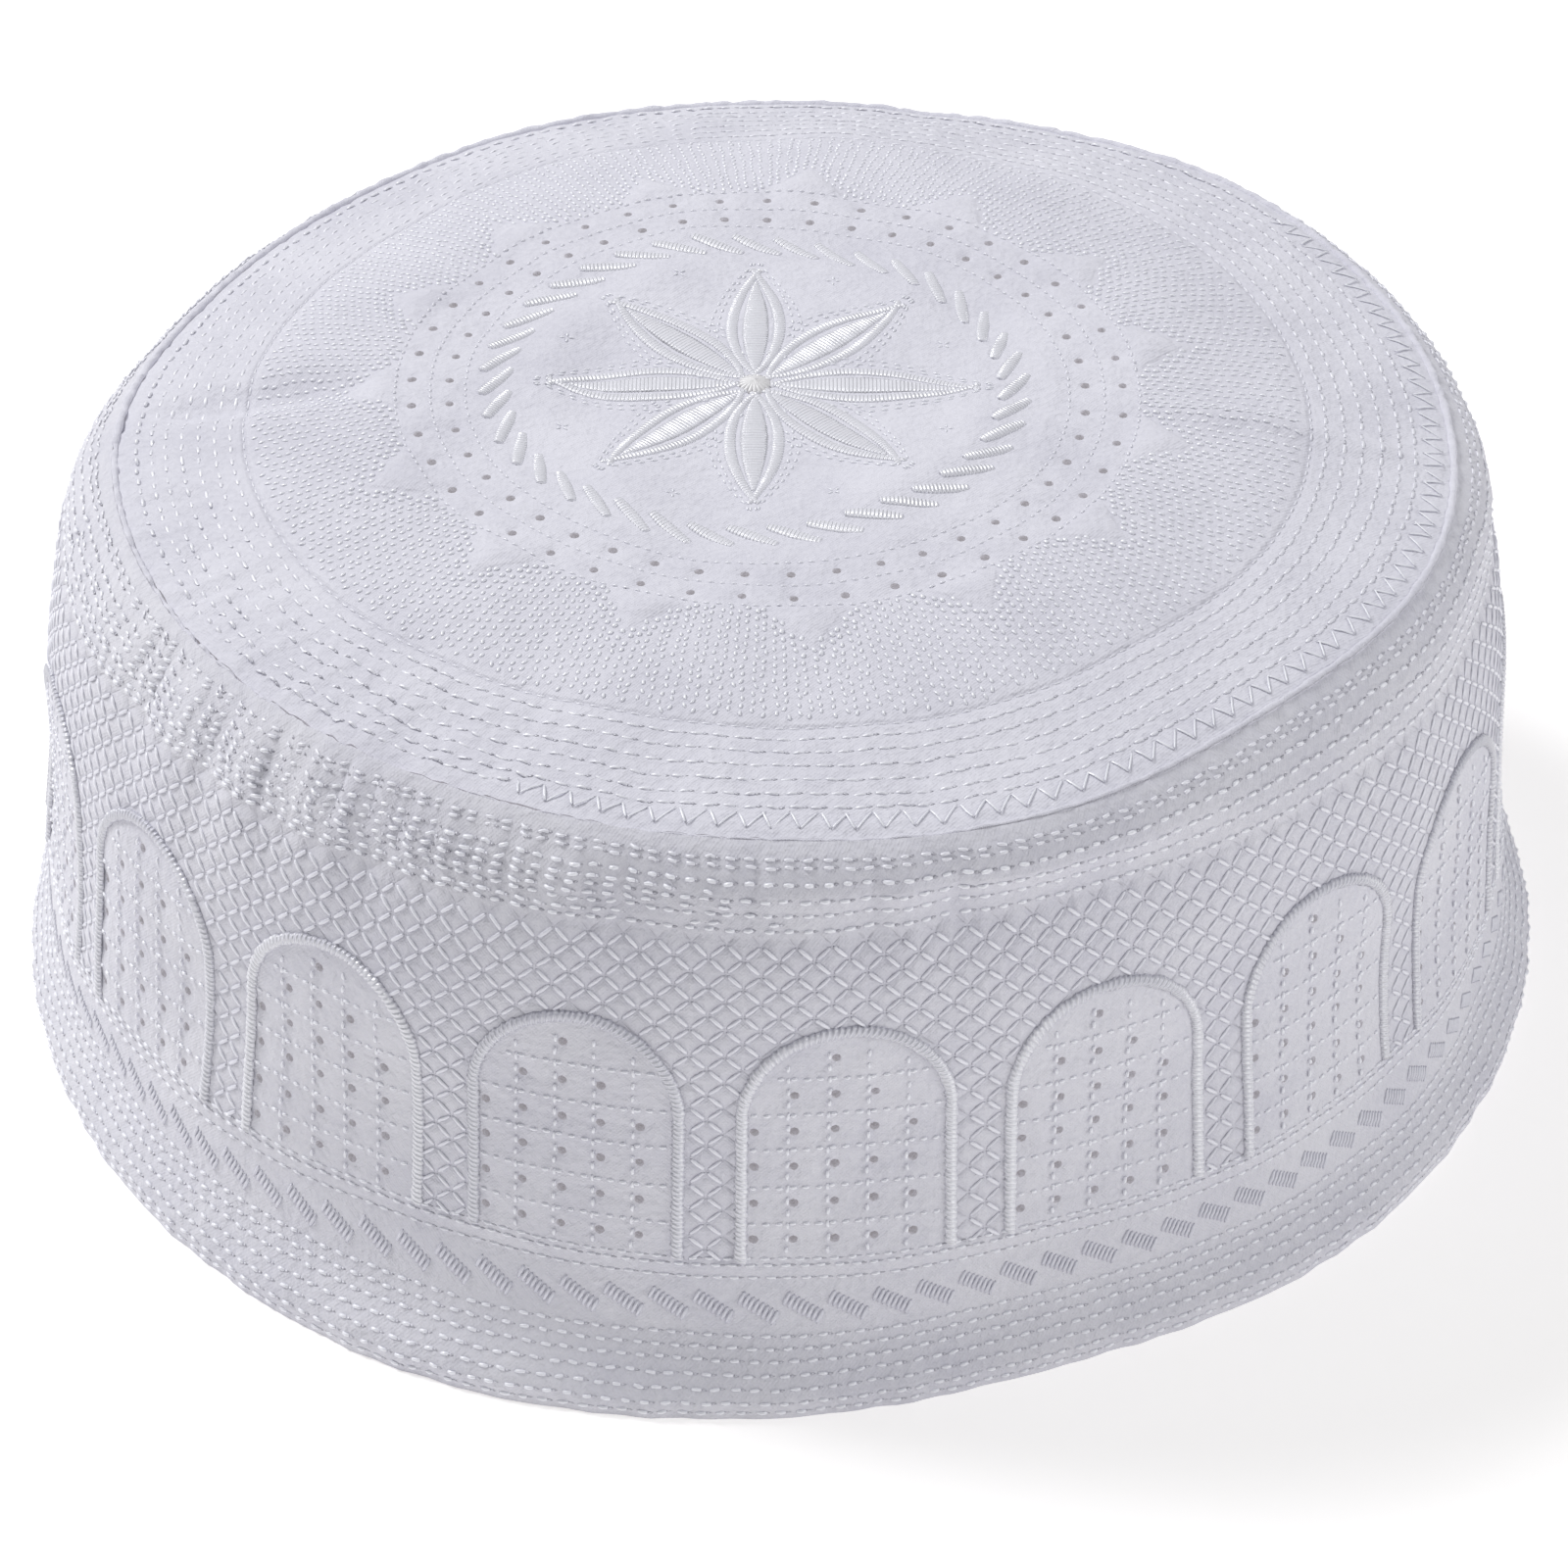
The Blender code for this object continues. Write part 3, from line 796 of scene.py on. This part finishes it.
thread = thread_finish("thread", white=(0.85, 0.855, 0.91), shade=(0.73, 0.73, 0.80), roughness=0.36)
soft_thread = thread_finish("soft_thread", white=(0.80, 0.80, 0.86), shade=(0.71, 0.71, 0.78), roughness=0.42)
rows = []
for reach in SEAM_ROWS:
    start, end = ring_of_stitches(reach, CROWN_ROW)
    turned = turned_from(start, CLOSED_AT)
    flat = 1.0 - 0.5 * hump(turned, CLOSED_HALF)[:, None]
    rows += running(crown_at, start, end, CROWN_ROW, flat, np.abs(turned) > CLOSED_HALF)
rows += running(crown_at, *ring_of_stitches(FIELD_LINE, FIELD_ROW), FIELD_ROW)
for reach in EYELET_LINES:
    rows += running(crown_at, *ring_of_stitches(reach, EYELET_ROW), EYELET_ROW)
zigzag = (np.arange(ZIGZAGS) + jitter(0.12, ZIGZAGS)) * 360.0 / ZIGZAGS
zigzag = zigzag[np.abs(wrapped(zigzag - ZIGZAG_AT)) < ZIGZAG_HALF]
inner, inner_after = (on_disc(zigzag + move, ZIGZAG_REACH[0]) for move in (0.0, 360.0 / ZIGZAGS))
outer = on_disc(zigzag + 0.7, ZIGZAG_REACH[1])
zigzag_stitches = sewn_piece("zigzag_stitches", [
    stitched(crown_at, inner, outer, width=0.34, height=0.13, lift=0.03, rise=0.12),
    stitched(crown_at, inner_after, outer, width=0.26, height=0.10, lift=0.02, rise=0.12),
], thread)
start, end = ring_of_stitches(EDGE_REACH, EDGE_ROW)
kept = np.abs(turned_from(start, ZIGZAG_AT)) > ZIGZAG_HALF
start, end = start[kept], end[kept]
rows += running(crown_at, start, end, EDGE_ROW, open_at=np.abs(turned_from(start, CLOSED_AT)) > CLOSED_HALF)
crown_rows = sewn_piece("crown_row_stitches", rows, soft_thread)

column, place = np.indices((FIELD_COLUMNS, FIELD_PLACES)).reshape(2, -1)
from_reach = FIELD[0] + (place + 0.5 * (column % 2)) * FIELD_PITCH + jitter(FIELD_WANDER, column.size)
angle = column * 360.0 / FIELD_COLUMNS + jitter(FIELD_WANDER, column.size)
lean = np.where(column % 2, 0.12, -0.12) + jitter(0.3, column.size)
start, end = on_disc(angle, from_reach), on_disc(angle + lean, from_reach + FIELD_STITCH)
kept = (inside_wedge(angle, from_reach + 0.5 * FIELD_STITCH) < -0.35) & (from_reach + FIELD_STITCH < FIELD[1])
full = hump(inside_wedge(angle, from_reach)[kept, None] + 1.2, 1.6)
field_stitches = sewn_piece("crown_field_stitches", [
    stitched(crown_at, start[kept], end[kept], width=0.43 + 0.20 * full, height=0.15 + 0.10 * full, sides=5),
], thread)

# Flower. Eight leaves of satin stitch meet in the middle of the crown: two curved outlines and a broad middle
# column each, worked with threads laid across them, then followed by a line of small stitches.
FLOWER = np.array((-1.5, 0.7))
PETALS = 8
PETAL_START = 1.6
PETAL_LENGTH = 22.6
PETAL_STRETCH = np.array((1.0, 1.0, 1.09, 1.02, 1.02, 1.0, 1.01, 1.0))[:, None]
PETAL_TURNS = np.radians(np.arange(PETALS) * 360.0 / PETALS)[:, None]
PETAL_HALF = 3.55
OUTLINE_INSET = 0.72
LINES_BESIDE = ((1.0, 0.16), (2.1, 0.34))
STAR_REACH = 24.0
KNOT_RADIUS = 2.3
SATIN_PITCH = 0.64
FINE_PITCH = 0.46


def petal_half(t):
    """Half width of a leaf at a share t of its length: sin(pi t to the 0.85) to the 0.8."""
    return PETAL_HALF * np.sin(math.pi * np.clip(t, 0.0, 1.0) ** 0.85) ** 0.8


def on_leaves(out, aside):
    """Flat coordinates on all eight leaves, so far out along the middle line of each and so far aside from it."""
    out = PETAL_STRETCH * out
    return pairs(FLOWER[0] + out * np.sin(PETAL_TURNS) + aside * np.cos(PETAL_TURNS),
                 FLOWER[1] - out * np.cos(PETAL_TURNS) + aside * np.sin(PETAL_TURNS))


def satin(at, line, width, height, slant=0.0, lift=-0.03, shine=1.0):
    """Satin column along lines of flat coordinates, shape (columns, points, 2), two points to a thread: every
    second one stands lower and takes a duller tone, painted shade, which leaves the furrows between the threads."""
    path, up = laid(at, line, lift)
    furrow = np.arange(line.shape[1] - 2) % 2
    return threads(path, up, width * (1.0 - 0.08 * furrow), height * (1.0 - 0.22 * furrow), 8, slant,
                   shine * (1.0 - 0.18 * furrow))


t = np.linspace(0.0, 1.0, round(2.0 * PETAL_LENGTH / FINE_PITCH))
satins = []
for side_of in (-1.0, 1.0, 0.0):
    if side_of:
        out, width, height = PETAL_START + t * PETAL_LENGTH, 0.65 + 0.95 * np.sin(math.pi * t) ** 0.7, 0.27
    else:
        out, width = PETAL_START + 1.0 + t * (PETAL_LENGTH - 3.6), 0.35 + 3.15 * np.sin(math.pi * t ** 0.9) ** 0.9
        height = 0.19
    line = on_leaves(out, side_of * (petal_half(t) - OUTLINE_INSET))
    satins.append(satin(crown_at, line, width[1:-1], height + 0.02 * width[1:-1]))
satin_thread = thread_finish("satin_thread", white=(0.87, 0.87, 0.93), shade=(0.81, 0.81, 0.87), roughness=0.26,
                             strand=FINE_PITCH)
flower_satin = sewn_piece("flower_satin", satins, satin_thread)

follow = []
for side_of in (-1.0, 1.0):
    for beyond, from_share in LINES_BESIDE:
        begin = np.arange(from_share, 1.04, 1.4 / PETAL_LENGTH)
        ends = []
        for share in (begin, begin + 0.034):
            aside = side_of * (petal_half(share) + beyond * np.clip(1.35 - share, 0.2, 1.0))
            ends.append(on_leaves(PETAL_START + share * PETAL_LENGTH, aside).reshape(-1, 2))
        follow.append(stitched(crown_at, *ends, width=0.28, height=0.17))
# A small cross of four stitches between each two leaves
star = 22.5 + np.arange(PETALS)[:, None] * 45.0
legs = on_disc(star + 20.0 + np.arange(4) * 90.0, 1.0)
ends = ((FLOWER + on_disc(star, STAR_REACH) + far * legs).reshape(-1, 2) for far in (0.2, 0.9))
follow.append(stitched(crown_at, *ends, width=0.26, height=0.12))
flower_lines = sewn_piece("flower_line_stitches", follow, thread)

legs = on_disc(np.arange(9) * 20.0, KNOT_RADIUS)
knot_thread = thread_finish("knot_thread", white=(0.76, 0.75, 0.76), shade=(0.68, 0.66, 0.67), roughness=0.5)
flower_knot = sewn_piece("flower_knot", [
    stitched(crown_at, FLOWER - legs, FLOWER + legs, width=0.75, height=0.42, lift=0.5),
], knot_thread)

# Rope ring. Forty short satin bars lean one after the other round the flower, like the strands of a rope.
ROPE_BARS = 40
ROPE_RADIUS = 30.2
ROPE_LENGTH = 7.0
ROPE_LEAN = 31.0
bar = np.arange(ROPE_BARS) * 360.0 / ROPE_BARS
middle = on_disc(bar, ROPE_RADIUS) + FLOWER
way = on_disc(bar + 90.0 - ROPE_LEAN, 1.0)
t = np.linspace(-0.5, 0.5, round(2.0 * ROPE_LENGTH / FINE_PITCH))
line = middle[:, None] + way[:, None] * (ROPE_LENGTH * t)[:, None]
width = (0.7 + 1.05 * np.cos(math.pi * t) ** 0.4)[1:-1]
rope_satin = sewn_piece("rope_satin", [satin(crown_at, line, width, 0.24 + 0.07 * width)], satin_thread)

# Lattice of the side band. A net of single stitches covers the band round its arches, four stitches to a
# diamond; those that lean to the right lie a little lower and take a darker tone, painted shade, most of all on the
# right.
LATTICE_LEVELS = 28
LATTICE_HEIGHT = {-1.0: 0.23, 1.0: 0.18}
across, rise = np.indices((2 * LATTICE_ROUND, LATTICE_LEVELS))
on_net = (across + rise) % 2 == 0
node = pairs(across[on_net], rise[on_net]) * 0.5 * LATTICE_CELL + (0.0, ARCH_FOOT)
edges = []
for lean, height in LATTICE_HEIGHT.items():
    step = 0.5 * np.array(LATTICE_CELL) * (lean, 1.0)
    start, end = node + 0.06 * step, node + 0.94 * step
    half_way = 0.5 * (start + end)
    kept = (arch_gap(*half_way.T) > 1.2) & (end[:, 1] < LATTICE_TOP)
    wander = jitter(0.05, (2, kept.sum(), 2))
    # Painted shade: right-leaning stitches take a darker tone, darker still on the right of the cap
    painted_shade_tone = 0.40 + 0.24 * ease(wrapped(half_way[kept, :1] / PER_DEGREE), 10.0, -25.0)
    edges.append(stitched(band_at, start[kept] + wander[0], end[kept] + wander[1], 0.52, height,
                          shine=painted_shade_tone if lean > 0.0 else 1.0))
lattice_stitches = sewn_piece("lattice_stitches", edges, soft_thread)

# Arches. Eighteen arches stand round the band, each a raised satin column worked over padding threads, with
# legs down to the row under them. Their threads lie across the column, so one flank shines and one is dull.
ARCH_WIDTH = 1.55
ARCH_HEIGHT = 0.56
ARCH_SLANT = -0.35
ARCH_LIFT = 0.08
leg_length = ARCH_SPRING - ARCH_FOOT
bow_length = math.pi * ARCH_HALF
run = np.arange(-leg_length, bow_length + leg_length, 0.5 * SATIN_PITCH)
bow = np.clip(run, 0.0, bow_length) / ARCH_HALF
below = np.where(run < 0.0, -run, np.maximum(run - bow_length, 0.0))
arch_line = pairs(-ARCH_HALF * np.cos(bow), ARCH_SPRING + ARCH_HALF * np.sin(bow) - below)
to_arches = pairs(ARCH_CENTRES, 0.0)[:, None]
width = ARCH_WIDTH * CHANCE.uniform(0.78, 1.12, (ARCHES, run.size - 2))
# Painted shade: the tone falls towards the top of each arch, so its crown is darker than its legs
wear_and_painted_shade = 1.0 - 0.24 * np.sin(bow[1:-1]) ** 2
arch_thread = thread_finish("arch_thread", white=(0.90, 0.90, 0.95), shade=(0.54, 0.54, 0.62), roughness=0.30,
                            strand=SATIN_PITCH)
arch_satin = sewn_piece("arch_satin", [
    satin(band_at, arch_line + to_arches, width, ARCH_HEIGHT, ARCH_SLANT, ARCH_LIFT, wear_and_painted_shade),
], arch_thread)

# Grid in the panels. Fine running stitches cross each panel between its rows and columns of eyelets.
GRID_HEIGHTS = (43.5, 38.5, 33.7, 28.5, 23.6)
GRID_COLUMNS = np.array((-7.2, -4.35, -1.4, 1.5, 4.4)) * PER_DEGREE
GRID_ACROSS = np.arange(-10.8, 10.0, 1.46)
GRID_UP = np.arange(19.6, 48.0, 1.66)
across = pairs(*np.meshgrid(GRID_ACROSS, GRID_HEIGHTS)).reshape(-1, 2)
up = pairs(*np.meshgrid(GRID_COLUMNS, GRID_UP, indexing="ij")).reshape(-1, 2)
start, end = np.concatenate([across, up]), np.concatenate([across + (0.85, 0.0), up + (0.0, 0.95)])
kept = arch_gap(*(0.5 * (start + end) + (ARCH_PHASE, 0.0)).T) < -1.3
wander = jitter(0.10, (2, ARCHES, kept.sum(), 2))
ends = ((flat[kept] + to_arches + off).reshape(-1, 2) for flat, off in zip((start, end), wander))
panel_stitches = sewn_piece("panel_grid_stitches", [stitched(band_at, *ends, width=0.42, height=0.24)], thread)

# Running rows of the band. Rows of longer stitches close the quilting under the seam, below the arches and all
# down the hem, following the seam and the rim.
TOP_ROW = Sewing(2.25, 1.40, 0.12, 0.54, 0.28, 0.10, 0.12)
EXTRA_ROW = Sewing(2.25, 1.35, 0.16, 0.46, 0.20, 0.08, 0.45)
FOOT_ROW = Sewing(1.95, 1.20, 0.07, 0.38, 0.24, 0.08, 0.14)
SEAM_ROW = Sewing(2.25, 1.35, 0.10, 0.42, 0.16, 0.06, 0.12)
HEM_ROW = Sewing(2.05, 1.20, 0.12, 0.48, 0.26, 0.08, 0.30)


def round_of_stitches(level, sewing):
    """Start and end of each stitch of a row round the band."""
    count = round(ROUND / sewing.pitch)
    begin = (np.arange(count) + CHANCE.random() + jitter(0.06, count)) * ROUND / count
    off = jitter(sewing.wander, (2, count))
    end = begin + sewing.dash * CHANCE.uniform(0.85, 1.1, count)
    return pairs(begin, level + off[0]), pairs(end, level + off[1])


def band_rows(levels, sewing):
    """Full rows of one sewing at several levels."""
    return [part for level in levels for part in running(band_at, *round_of_stitches(level, sewing), sewing)]


rows = band_rows(TOP_ROWS[:4], TOP_ROW)
for level in EXTRA_ROWS:
    start, end = round_of_stitches(level, EXTRA_ROW)
    kept = np.abs(wrapped(start[:, 0] / PER_DEGREE - PUCKER_DEEPEST[0])) < CHANCE.uniform(26.0, 44.0, len(start))
    rows += running(band_at, start[kept], end[kept], EXTRA_ROW)
rows += band_rows(FOOT_ROWS, FOOT_ROW)
band_stitches = sewn_piece("band_row_stitches", rows, thread)
seam_stitches = sewn_piece("seam_row_stitches", band_rows(TOP_ROWS[4:], SEAM_ROW), soft_thread)
hem_stitches = sewn_piece("hem_row_stitches", band_rows(HEM_ROWS, HEM_ROW), thread)

# Leaning blocks. A row of small satin blocks runs round between arches and hem: each is a few slanting
# threads side by side, stepping down to the right.
BLOCKS = 111
BLOCK_THREADS = 8
BLOCK_LEVEL = 12.45
BLOCK_SPREAD = (3.6, -2.45)
BLOCK_HALF = np.array((0.37, 0.95))
spread = np.linspace(-0.5, 0.5, BLOCK_THREADS)[:, None] * BLOCK_SPREAD
middle = pairs(np.arange(BLOCKS) * ROUND / BLOCKS, BLOCK_LEVEL)
centre = (middle[:, None] + spread).reshape(-1, 2)
# The blocks' thread is darker than the other thread: painted shade, as their slanting threads catch little light
block_thread = thread_finish("block_thread", white=(0.66, 0.66, 0.73), shade=(0.46, 0.46, 0.54), roughness=0.38)
block_satin = sewn_piece("block_satin", [
    stitched(band_at, centre - BLOCK_HALF, centre + BLOCK_HALF, width=0.54, height=0.25, lift=0.06),
], block_thread)

# Floor, light and camera. The cap stands on a plain white table in soft daylight from above and behind, and
# is seen from the front and rather above, from well back.
CAMERA_AT = (-2.39, -619.78, 491.39)
CAMERA_DOWN = 37.337
CAMERA_TURN = 0.221
CAMERA_ROLL = 0.729
LENS = 146.9
FLOOR_HALF = 3000.0
FLOOR_WHITE = (0.93, 0.93, 0.94)
FLOOR_WARM = (0.98, 0.945, 0.89)
FLOOR_GLOW = 0.37
WORLD_WHITE = (0.96, 0.97, 1.0)
WORLD_LIGHT = 0.405
Lamp = namedtuple("Lamp", "name place size power")
LAMPS = [
    Lamp("window", (-1080.0, 585.0, 1425.0), 630.0, 23.9),
    Lamp("side_lamp", (950.0, -330.0, 600.0), 450.0, 3.05),
]

floor_points = np.array([(-1, -1, 0), (1, -1, 0), (1, 1, 0), (-1, 1, 0)]) * FLOOR_HALF
floor_finish = new_finish("floor_white", {
    "Roughness": 0.9, "Base Color": (*FLOOR_WHITE, 1.0), "Emission Color": (*FLOOR_WARM, 1.0),
    "Emission Strength": FLOOR_GLOW})[0]
floor_mesh = bpy.data.meshes.new("floor")
floor_mesh.from_pydata((floor_points * MM).tolist(), [], [(0, 1, 2, 3)])
floor_mesh.materials.append(floor_finish)
placed("floor", floor_mesh)

world = bpy.data.worlds.new("daylight")
world.use_nodes = True
sky = world.node_tree.nodes["Background"]
sky.inputs["Color"].default_value = (*WORLD_WHITE, 1.0)
sky.inputs["Strength"].default_value = WORLD_LIGHT
bpy.context.scene.world = world
for lamp in LAMPS:
    light = bpy.data.lights.new(lamp.name, "AREA")
    light.size, light.energy = lamp.size * MM, lamp.power
    stand = placed(lamp.name, light)
    stand.location = Vector(lamp.place) * MM
    stand.rotation_euler = (Vector((0.0, 0.0, 50.0 * MM)) - stand.location).to_track_quat("-Z", "Y").to_euler()

down, turn, roll = (math.radians(a) for a in (CAMERA_DOWN, CAMERA_TURN, CAMERA_ROLL))
turned = Matrix.Rotation(-turn, 4, "Z") @ Matrix.Rotation(0.5 * math.pi - down, 4, "X") @ Matrix.Rotation(roll, 4, "Z")
lens = bpy.data.cameras.new("camera")
lens.lens, lens.sensor_width = LENS, 36.0
lens.clip_start, lens.clip_end = 0.05, 20.0
camera = placed("camera", lens)
camera.matrix_world = Matrix.Translation(Vector(CAMERA_AT) * MM) @ turned
bpy.context.scene.camera = camera
bpy.context.scene.view_settings.view_transform = "Standard"
